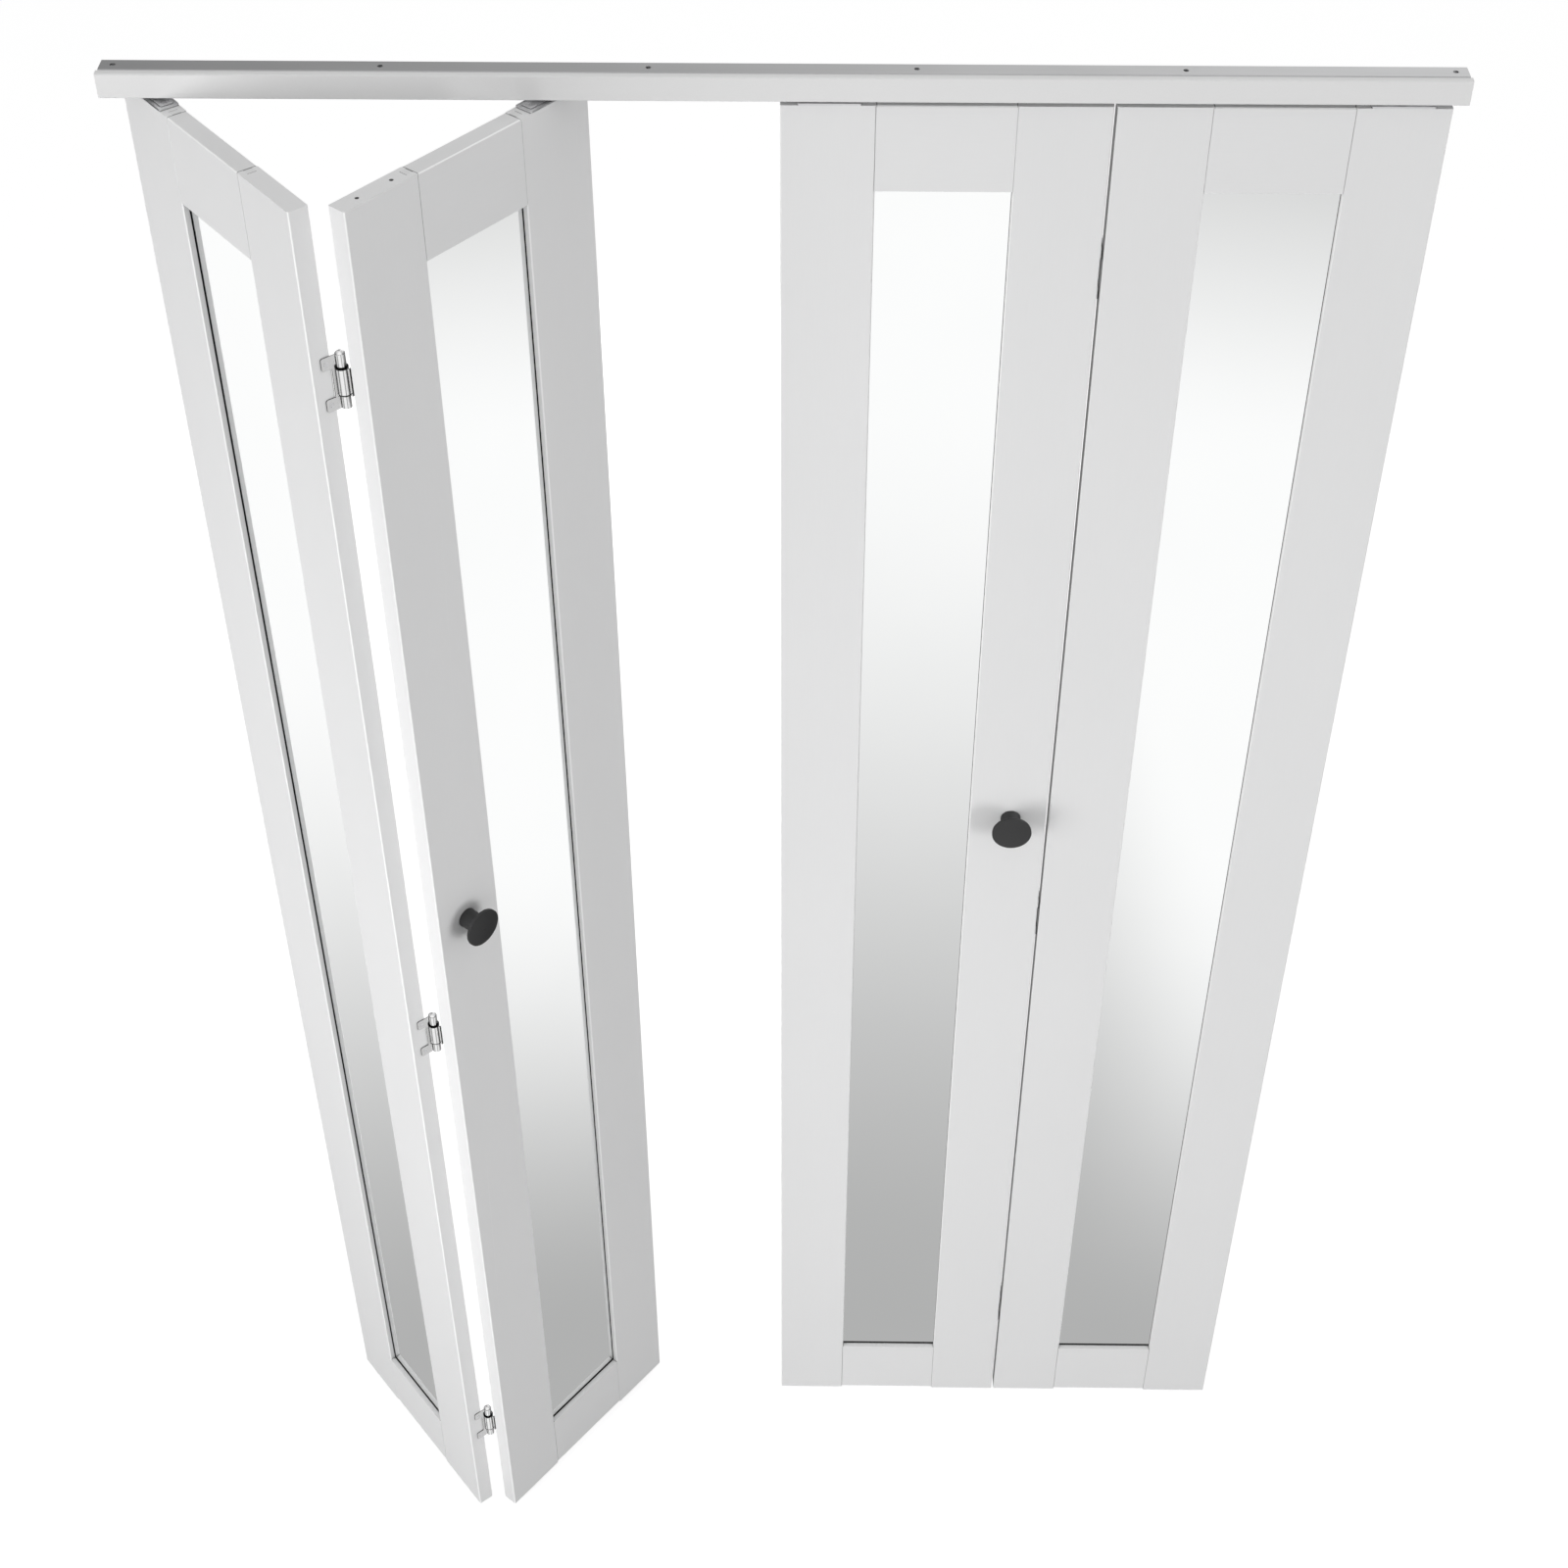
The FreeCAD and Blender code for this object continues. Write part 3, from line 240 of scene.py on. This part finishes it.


def lacquered_wood(name, along, panel, rail):
    """White satin lacquer: a faint grain in the film, and a slow change of tone. Painted shade darkens
    slits and inside corners and makes the back of the front lip near-black; the arrises carry a
    painted highlight; the joints of rail and stile show as dark lines on the top edge, and on the
    front the painted shade is lifted from them."""
    material, tree, shader = new_material(name)
    here = node(tree, "ShaderNodeTexCoord").outputs
    grain = noise(tree, stretched_place(tree, along, 1.0, 0.035), 900.0, 3.0, 0.6)
    cloud = noise(tree, stretched_place(tree, along, 1.0, 0.4), 9.0, 3.0)
    tone = calc(tree, "ADD", calc(tree, "MULTIPLY", grain, 0.45), calc(tree, "MULTIPLY", cloud, 0.55))
    film = mix_colour(tree, tone, (0.795, 0.797, 0.80, 1), (0.845, 0.845, 0.847, 1))
    facing = along_axis(tree, here["Normal"], panel["front"])
    upward = blend_between(tree, along_axis(tree, here["Normal"], UP), 0.6, 0.8)
    sky = open_sky(tree, WOOD_REACH)
    # painted highlight: the front arrises, where nothing near covers them, are mixed towards white
    arris_highlight = calc(tree, "MULTIPLY", band(tree, facing, (0.45, 0.6), (0.82, 0.92)),
                 blend_between(tree, sky, 0.8, 0.95))
    film = mix_colour(tree, arris_highlight, film, (0.97, 0.97, 0.97, 1))
    across = along_axis(tree, here["Object"], panel["along"])
    low, high = panel["opening"]
    from_joint = calc(tree, "MINIMUM", distance_from(tree, across, low),
                      distance_from(tree, across, high))
    seam = calc(tree, "MULTIPLY", blend_between(tree, from_joint, *JOINT_LINE, 1.0, 0.0),
                share_left(tree, upward, 1.0))
    # in the joints of rail and stile, off the top edge, the painted shade leaves all of the colour, and
    # at least 0.82 of it at the fold stile
    from_fold = distance_from(tree, across, panel["fold_joint"])
    fold_joint_shade_floor = blend_between(tree, from_fold, *JOINT_LINE, 1.0, 0.82)
    # painted shade in slits and inside corners
    crevice_shade = crevice(tree, sky, 0.02, 0.8)
    film = shaded(tree, film, calc(tree, "MAXIMUM", crevice_shade, calc(tree, "MULTIPLY", seam, fold_joint_shade_floor)))
    # painted shade: the back of the front lip, in the groove, is near-black
    depth = calc(tree, "SUBTRACT", panel["face"], along_axis(tree, here["Object"], panel["front"]))
    lip_back_shade = calc(tree, "MULTIPLY", calc(tree, "LESS_THAN", depth, LIP_LIMIT),
                      calc(tree, "LESS_THAN", facing, -0.5))
    film = mix_colour(tree, lip_back_shade, film, (0.035, 0.033, 0.03, 1))
    if rail:
        line = blend_between(tree, from_joint, *TOP_JOINT_LINE, 0.75, 0.05)
        film = shaded(tree, film, share_left(tree, upward, line))
    connect(
        tree, shader,
        Base_Color=film,
        Roughness=blend_between(tree, grain, 0.2, 0.8, 0.36, 0.48),
        Normal=bump(tree, grain, 0.00006, 0.35))
    return material


def mirror_silver(name, panel):
    """Silvered glass: polished, with a tone that drifts in large soft patches. Its rim in the
    frame's groove is painted near-black and matte as shade, which ends just outside the groove."""
    material, tree, shader = new_material(name)
    place = node(tree, "ShaderNodeTexCoord").outputs["Object"]
    haze = noise(tree, place, 5.0, 3.0)
    across = along_axis(tree, place, panel["along"])
    height = along_axis(tree, place, UP)
    low, high = panel["opening"]
    # painted shade: near-black, matte silver where it lies in the groove, to a little past the lips
    inside = calc(tree, "MINIMUM",
                  calc(tree, "MINIMUM", calc(tree, "SUBTRACT", across, low + SIDE_SHADE),
                       calc(tree, "SUBTRACT", high - SIDE_SHADE, across)),
                  calc(tree, "MINIMUM", calc(tree, "SUBTRACT", height, panel["sill"] + SILL_SHADE),
                       calc(tree, "SUBTRACT", panel["head"], height)))
    clear = blend_between(tree, inside, -SHADE_BLUR, SHADE_BLUR)
    silver = mix_colour(tree, haze, (0.955, 0.965, 0.962, 1), (0.985, 0.99, 0.988, 1))
    connect(
        tree, shader, Metallic=1.0,
        Base_Color=mix_colour(tree, clear, (0.02, 0.02, 0.02, 1), silver),
        Roughness=blend_between(tree, clear, 0.5, 1.0, 0.4, 0.0))
    return material


def backing_board():
    """White faced hardboard behind the mirror."""
    material, tree, shader = new_material("backing_board_white")
    place = node(tree, "ShaderNodeTexCoord").outputs["Object"]
    speckle = noise(tree, place, 420.0, 4.0, 0.7)
    connect(
        tree, shader,
        Base_Color=mix_colour(tree, speckle, (0.70, 0.70, 0.685, 1), (0.79, 0.79, 0.78, 1)),
        Roughness=blend_between(tree, speckle, 0.2, 0.8, 0.5, 0.65),
        Normal=bump(tree, speckle, 0.0001, 0.4))
    return material


def extruded_aluminium():
    """Mill-finished extrusion with die lines along the track."""
    material, tree, shader = new_material("channel_aluminium_extruded")
    lines = noise(tree, stretched_place(tree, (1, 0, 0), 1.0, 0.004), 1600.0, 2.0)
    stains = noise(tree, stretched_place(tree, (1, 0, 0), 1.0, 0.3), 30.0, 3.0)
    connect(
        tree, shader, Metallic=1.0,
        Base_Color=mix_colour(tree, stains, (0.60, 0.605, 0.61, 1), (0.70, 0.70, 0.705, 1)),
        Roughness=blend_between(tree, lines, 0.25, 0.75, 0.28, 0.42),
        Normal=bump(tree, lines, 0.00004, 0.5))
    return material


def fascia_paint():
    """White powder coat over the fascia strip, with a very fine orange peel."""
    material, tree, shader = new_material("fascia_powder_coat")
    place = node(tree, "ShaderNodeTexCoord").outputs["Object"]
    peel = noise(tree, place, 700.0, 2.0)
    connect(
        tree, shader,
        Base_Color=mix_colour(tree, peel, (0.79, 0.79, 0.79, 1), (0.82, 0.82, 0.82, 1)),
        Roughness=blend_between(tree, peel, 0.3, 0.7, 0.3, 0.4),
        Normal=bump(tree, peel, 0.00004, 0.3))
    return material


def plated_metal(name, dark, light, roughness, spread, reach=0.0025, corner=0.3, hinges=None):
    """Plated metal whose tone and gloss change a little from place to place; painted shade darkens its
    gaps and inside corners, and rings of painted shade lie on the knuckles of one side's hinges, if
    hinges names that side."""
    material, tree, shader = new_material(name)
    place = node(tree, "ShaderNodeTexCoord").outputs["Object"]
    patches = noise(tree, place, 260.0, 3.0)
    # painted shade in gaps and inside corners
    crevice_shade = crevice(tree, open_sky(tree, reach), 0.04, corner)
    if hinges:
        # rings of painted shade beside the gaps between the knuckles
        crevice_shade = calc(tree, "MINIMUM", crevice_shade, knuckle_gap_shade(tree, place, hinges))
    connect(
        tree, shader, Metallic=1.0,
        Base_Color=shaded(tree, mix_colour(tree, patches, dark, light), crevice_shade),
        Roughness=blend_between(tree, patches, 0.3, 0.7, roughness, roughness + spread),
        Normal=bump(tree, patches, 0.00003, 0.25))
    return material


def roller_nylon():
    """Milky nylon of the guide rollers, with rings left by the mould."""
    material, tree, shader = new_material("roller_nylon")
    rings = noise(tree, stretched_place(tree, (1, 1, 0), 1.0, 0.2), 900.0, 1.0)
    connect(
        tree, shader,
        Base_Color=mix_colour(tree, rings, (0.70, 0.69, 0.66, 1), (0.76, 0.75, 0.72, 1)),
        Roughness=blend_between(tree, rings, 0.3, 0.7, 0.35, 0.5),
        Subsurface_Weight=0.15, Subsurface_Radius=(0.002, 0.002, 0.0018))
    return material


def knob_black():
    """Matte black coating with a fine grain."""
    material, tree, shader = new_material("knob_matte_black")
    place = node(tree, "ShaderNodeTexCoord").outputs["Object"]
    grain = noise(tree, place, 1500.0, 2.0, 0.6)
    connect(
        tree, shader,
        Base_Color=mix_colour(tree, grain, (0.020, 0.020, 0.0205, 1), (0.031, 0.031, 0.032, 1)),
        Roughness=blend_between(tree, grain, 0.3, 0.7, 0.5, 0.62),
        Normal=bump(tree, grain, 0.00005, 0.5))
    return material


# ---------------------------------------------------------------- panels

def front_normal(pane):
    """Direction that a panel's front faces, read from its mirror pane."""
    fronts = [face for face in pane.data.polygons if face.normal.y < 0]
    return max(fronts, key=lambda face: face.area).normal.copy()


def extent(thing, direction):
    """Lowest and highest reach of a mesh along a direction."""
    reaches = [corner.co.dot(direction) for corner in thing.data.vertices]
    return min(reaches), max(reaches)


def lip_edge(rail, front, highest):
    """Height of the edge that a rail's front lip turns to the mirror."""
    corners = [corner.co for corner in NODES[rail].data.vertices]
    face = max(corner.dot(front) for corner in corners)
    heights = [corner.z for corner in corners if face - corner.dot(front) < LIP_LIMIT]
    return max(heights) if highest else min(heights)


PANELS = {}
for side in ("left", "right"):
    for kind in ("pivot", "lead"):
        prefix = f"{side}_{kind}_panel"
        front = front_normal(NODES[f"{prefix}_mirror"])
        along = UP.cross(front) * -1
        stiles = [NODES[f"{prefix}_{name}_stile"] for name in ("pin", "fold")]
        spans = sorted(extent(stile, along) for stile in stiles)
        opening = (spans[0][1], spans[1][0])
        ends = extent(stiles[1], along)
        fold_joint = min(opening, key=lambda edge: min(abs(edge - end) for end in ends))
        PANELS[prefix] = {
            "front": front, "along": along,
            "face": extent(stiles[0], front)[1],          # reach of the front face
            "opening": opening,                           # between the stiles
            "fold_joint": fold_joint,                     # its edge at the fold stile
            "sill": lip_edge(f"{prefix}_bottom_rail", front, highest=True),
            "head": lip_edge(f"{prefix}_top_rail", front, highest=False)}


GLASS_DEPTH = 0.0010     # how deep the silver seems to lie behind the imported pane's face
PANE_ARRIS = 0.0006      # chamfer along the pane's edges


def silvered_pane(prefix):
    """The mirror's silver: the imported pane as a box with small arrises, its front set back."""
    pane = NODES[f"{prefix}_mirror"]
    front, along = PANELS[prefix]["front"], PANELS[prefix]["along"]
    spans = [extent(pane, axis) for axis in (along, -front, UP)]
    spans[1] = (spans[1][0] + GLASS_DEPTH, spans[1][1])
    centre = sum((axis * sum(span) / 2 for axis, span in zip((along, -front, UP), spans)), Vector())
    size = [high - low for low, high in spans]
    axes = Matrix((along, -front, UP)).transposed().to_4x4()
    form = bmesh.new()
    bmesh.ops.create_cube(form, size=1.0)
    bmesh.ops.scale(form, vec=size, verts=form.verts)
    bmesh.ops.bevel(form, geom=form.edges[:], offset=PANE_ARRIS, segments=1, affect="EDGES")
    form.transform(Matrix.Translation(centre) @ axes)
    mesh = bpy.data.meshes.new(f"{prefix}_mirror_silver")
    form.to_mesh(mesh)
    form.free()
    piece = add_object(f"{prefix}_mirror_silver", mesh)
    mesh.materials.append(mirror_silver(f"mirror_silver_{prefix}", PANELS[prefix]))
    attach(piece, prefix)
    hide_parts(f"{prefix}_mirror")


# ---------------------------------------------------------------- hinges

KNUCKLE_REACH = 0.0068   # all of a knuckle lies nearer to the hinge axis than this
HINGE_SPACING = 0.1      # two hinges of a pair lie further apart than this
# rings of painted shade on the knuckles, beside the gaps between them
GAP_SHADE_REACH = 0.0010    # to either side of each end of a middle knuckle
GAP_SHADE_FADE = 0.0004     # soft edge of the painted shade
GAP_SHADE_DARKNESS = 0.96


def hinge_axis(side):
    """Place of a pair's hinge axis in the plan."""
    low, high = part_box(f"{side}_hinge_pins")
    return (low[0] + high[0]) / 2, (low[1] + high[1]) / 2


def knuckle_ends(side):
    """Height of each end of the middle knuckles of a pair's hinges."""
    axis = Vector(hinge_axis(side))
    heights = sorted(corner.co.z for corner in NODES[f"{side}_lead_panel_hinge_leaves"].data.vertices
                     if (corner.co.xy - axis).length < KNUCKLE_REACH)
    steps = [(low, high) for low, high in zip(heights, heights[1:]) if high - low > HINGE_SPACING]
    return [heights[0], *(end for step in steps for end in step), heights[-1]]


def knuckle_gap_shade(tree, place, side):
    """Share of colour left on the knuckles by rings of painted shade beside the gaps between them."""
    height = along_axis(tree, place, UP)
    from_gap = 1.0
    for end in knuckle_ends(side):
        from_gap = calc(tree, "MINIMUM", from_gap, distance_from(tree, height, end))
    plan = node(tree, "ShaderNodeVectorMath", {0: place, 1: (1, 1, 0)}, operation="MULTIPLY").outputs[0]
    radius = node(tree, "ShaderNodeVectorMath", {0: plan, 1: (*hinge_axis(side), 0)},
                  operation="DISTANCE").outputs["Value"]
    on_knuckle = calc(tree, "LESS_THAN", radius, KNUCKLE_REACH)
    ring = blend_between(tree, from_gap, GAP_SHADE_REACH, GAP_SHADE_REACH + GAP_SHADE_FADE, 1.0, 0.0)
    return share_left(tree, calc(tree, "MULTIPLY", on_knuckle, ring), GAP_SHADE_DARKNESS)


# ---------------------------------------------------------------- finishing the nodes

STEEL = ((0.52, 0.52, 0.53, 1), (0.66, 0.66, 0.67, 1))
ZINC = ((0.72, 0.72, 0.73, 1), (0.82, 0.82, 0.83, 1))
NICKEL = ((0.88, 0.88, 0.88, 1), (0.95, 0.95, 0.95, 1))
FINISHES = {
    "backing_board": backing_board(),
    "channel_aluminium": extruded_aluminium(),
    "fascia_white": fascia_paint(),
    "bracket_zinc": plated_metal("bracket_zinc", (0.42, 0.43, 0.44, 1), (0.55, 0.56, 0.57, 1), 0.4, 0.1),
    "plate_steel": plated_metal("plate_zinc_plated", *ZINC, 0.45, 0.1),
    "pin_steel": plated_metal("pin_bright_steel", *STEEL, 0.22, 0.08),
    "roller_nylon": roller_nylon(),
    "knob_black": knob_black(),
    "screw_zinc": plated_metal("screw_zinc", *ZINC, 0.25, 0.1),
}
for part in frame["record"]["subparts"]:
    if part["material_slot"] in FINISHES:
        dress(part["node"], FINISHES[part["material_slot"]])

for prefix, panel in PANELS.items():
    # the grain runs along each piece of wood
    upright = lacquered_wood(f"white_lacquer_{prefix}_stiles", UP, panel, False)
    level = lacquered_wood(f"white_lacquer_{prefix}_rails", panel["along"], panel, True)
    pieces = {"pin_stile": upright, "fold_stile": upright, "top_rail": level, "bottom_rail": level}
    for piece, wood in pieces.items():
        dress(f"{prefix}_{piece}", wood)

for side in ("left", "right"):
    # deep, wide painted shade on the knuckles, which also stands in for the dark bands that they reflect
    nickel = plated_metal(f"hinge_nickel_{side}", *NICKEL, 0.06, 0.04, reach=0.009, corner=0.06,
                          hinges=side)
    for part in frame["record"]["subparts"]:
        if part["material_slot"] == "hinge_nickel" and part["node"].startswith(side):
            dress(part["node"], nickel)

for prefix in PANELS:
    silvered_pane(prefix)

# no reflection shows the right pair, as the left pair's mirrors in the photo don't
for body in ("right_pivot_panel", "right_lead_panel"):
    for piece in frame["bodies"][body].children:
        piece.visible_glossy = False


# ---------------------------------------------------------------- studio

FLOOR_SIZE = 40.0
FLOOR_PAPER = 0.34       # share of the light that the floor throws back,
FLOOR_GLOW = 0.8         # and what it adds for the camera
SKY = 0.55               # strength of the world's light on the object


def studio_floor():
    """Pale floor under the door: white to the camera, but for the object's soft shadow."""
    material = bpy.data.materials.new("studio_floor")
    tree = empty_tree(material)
    paths = node(tree, "ShaderNodeLightPath")
    seen = calc(tree, "MAXIMUM", paths.outputs["Is Camera Ray"], paths.outputs["Is Transmission Ray"])
    paper = node(tree, "ShaderNodeBsdfDiffuse", {"Color": grey(FLOOR_PAPER)})
    glow = node(tree, "ShaderNodeEmission", {"Color": grey(1.0),
                                             "Strength": calc(tree, "MULTIPLY", seen, FLOOR_GLOW)})
    both = node(tree, "ShaderNodeAddShader", {0: paper.outputs[0], 1: glow.outputs[0]})
    node(tree, "ShaderNodeOutputMaterial", {"Surface": both.outputs[0]})
    half, level = FLOOR_SIZE / 2, cad_box[0].z
    mesh = bpy.data.meshes.new("studio_floor")
    corners = [(-half, -half, level), (half, -half, level), (half, half, level), (-half, half, level)]
    mesh.from_pydata(corners, [], [(0, 1, 2, 3)])
    floor = add_object("studio_floor", mesh)
    mesh.materials.append(material)
    floor.visible_glossy = False


# What the world shows, by heights in degrees above the horizon and by turns in degrees from -Y
# towards +X. A pair of them is where something starts and where it is whole.

# the floor that mirrors see
FLOOR_DARK_AT = -54.5            # darkest below this height,
FLOOR_WHITE_AT = -33.0           # and white above this one straight in front
FLOOR_DARKEST = 0.45
RIGHT_TURNS = (5.0, 14.0)        # to the right it is white already
WHITE_LOWER_RIGHT = 10.5         # this much lower
LEFT_TURNS = (-20.0, -60.0)      # and to the left
WHITE_LOWER_LEFT = 5.0           # this much
FAR_HEIGHTS = (-34.5, -26.0)     # its far part darkens again
FAR_TURNS = (6.0, 9.5)           # on the right
FAR_DARKNESS = 0.35
# what rough metal sees: a pale ground behind flags, each with its darkness, and the turns between
# which it fades in and out
METAL_GROUND = 0.92
METAL_STRIPES = [
    (0.97, (-160, -150), (-62, -30)),
    (0.55, (17, 20), (34, 42)),
    (0.35, (54, 58), (70, 72)),
    (0.95, (74, 78), (145, 155)),
]
# the walls that both see above the horizon
HORIZON = (-8.0, 4.0)
WALL = 0.95
BACK_TURNS = (150.0, 118.0)      # from the back wall to the rest, on either side
BACK_LEFT, BACK_RIGHT = 0.30, 0.90
BACK_FADE = (-0.25, 0.25)        # share of the way to +X, from the left tone to the right one


def studio_world():
    """White to the camera. Mirrors see a floor that darkens towards the door, and rough metal
    sees dark flags; above the horizon both see walls."""
    world = bpy.data.worlds.new("studio")
    bpy.context.scene.world = world
    tree = empty_tree(world)
    way = node(tree, "ShaderNodeSeparateXYZ",
               {0: node(tree, "ShaderNodeTexCoord").outputs["Generated"]}).outputs
    height = calc(tree, "MULTIPLY", calc(tree, "ARCSINE", way["Z"]), 180 / math.pi)
    turn = calc(tree, "MULTIPLY", calc(tree, "ARCTAN2", way["X"], calc(tree, "MULTIPLY", way["Y"], -1.0)),
                180 / math.pi)
    right = blend_between(tree, turn, *RIGHT_TURNS, 0.0, WHITE_LOWER_RIGHT)
    left = blend_between(tree, turn, *LEFT_TURNS, 0.0, WHITE_LOWER_LEFT)
    white_at = calc(tree, "SUBTRACT", FLOOR_WHITE_AT, calc(tree, "ADD", right, left))
    share = blend_between(tree, height, FLOOR_DARK_AT, white_at)
    low_floor = calc(tree, "ADD", FLOOR_DARKEST, calc(tree, "MULTIPLY", share, 1.0 - FLOOR_DARKEST))
    far = calc(tree, "MULTIPLY", blend_between(tree, height, *FAR_HEIGHTS),
               blend_between(tree, turn, *FAR_TURNS))
    low_floor = calc(tree, "MULTIPLY", low_floor, share_left(tree, far, FAR_DARKNESS))
    # the flags draw the edges of rough metal, and only the sharp rays of mirrors see the floor
    paths = node(tree, "ShaderNodeLightPath").outputs
    flags = grey(METAL_GROUND)
    for strength, rise, fall in METAL_STRIPES:
        flags = shaded(tree, flags, share_left(tree, band(tree, turn, rise, fall), strength))
    low_part = mix_colour(tree, paths["Is Singular Ray"], flags, low_floor)
    # the wall behind the door is darker than the rest, most so to the left
    front = blend_between(tree, calc(tree, "ABSOLUTE", turn), *BACK_TURNS)
    back_wall = blend_between(tree, way["X"], *BACK_FADE, BACK_LEFT, BACK_RIGHT)
    high_part = blend_between(tree, front, 0.0, 1.0, back_wall, WALL)
    rises = blend_between(tree, height, *HORIZON)
    seen_by_metal = mix_colour(tree, rises, low_part, high_part)
    by_metal = calc(tree, "MAXIMUM", paths["Is Glossy Ray"], paths["Is Transmission Ray"])
    shown = node(tree, "ShaderNodeBackground", {"Color": grey(1.0), "Strength": 1.0})
    mirrored = node(tree, "ShaderNodeBackground", {"Color": seen_by_metal, "Strength": 1.0})
    light = node(tree, "ShaderNodeBackground", {"Color": grey(1.0), "Strength": SKY})
    metal = node(tree, "ShaderNodeMixShader", {0: by_metal, 1: light.outputs[0], 2: mirrored.outputs[0]})
    whole = node(tree, "ShaderNodeMixShader", {0: paths["Is Camera Ray"], 1: metal.outputs[0],
                                               2: shown.outputs[0]})
    node(tree, "ShaderNodeOutputWorld", {"Surface": whole.outputs[0]})


MID = (cad_box[0] + cad_box[1]) / 2
LAMP_SIZE = 1.6
LAMPS = [                # name, place, target and power in watts
    ("key_left", (-2.0, -1.7, MID.z), MID, 40),
    ("fill_right", (3.4, -2.6, MID.z + 0.2), MID, 52),
    ("overhead", (0, -0.6, 1.6), MID, 4),
    ("top_back", (0, 0.7, 1.5), (0, 0, 0), 4),
    ("behind", (0, 3.0, MID.z), MID, 38),
]


def softbox(name, place, target, power):
    """Square area lamp that faces the target and isn't mirrored itself."""
    lamp = bpy.data.lights.new(name, "AREA")
    lamp.shape = "SQUARE"
    lamp.size = LAMP_SIZE
    lamp.energy = power
    thing = add_object(name, lamp)
    thing.location = place
    thing.rotation_euler = (Vector(target) - Vector(place)).to_track_quat("-Z", "Y").to_euler()
    thing.visible_glossy = False


CAMERA_PLACE = (0.02576, -2.06879, 1.02816)
CAMERA_PITCH = 0.73964   # below the horizon, radians
CAMERA_YAW = 0.01184
CAMERA_LENS = 57.49      # on a 36 mm sensor


def studio_camera():
    view = bpy.data.cameras.new("camera")
    view.lens = CAMERA_LENS
    view.sensor_width = 36.0
    camera = add_object("camera", view)
    camera.location = CAMERA_PLACE
    camera.rotation_euler = (math.pi / 2 - CAMERA_PITCH, 0, CAMERA_YAW)
    bpy.context.scene.camera = camera


studio_floor()
studio_world()
for name, place, target, power in LAMPS:
    softbox(name, place, target, power)
studio_camera()
bpy.context.scene.view_settings.view_transform = "Standard"
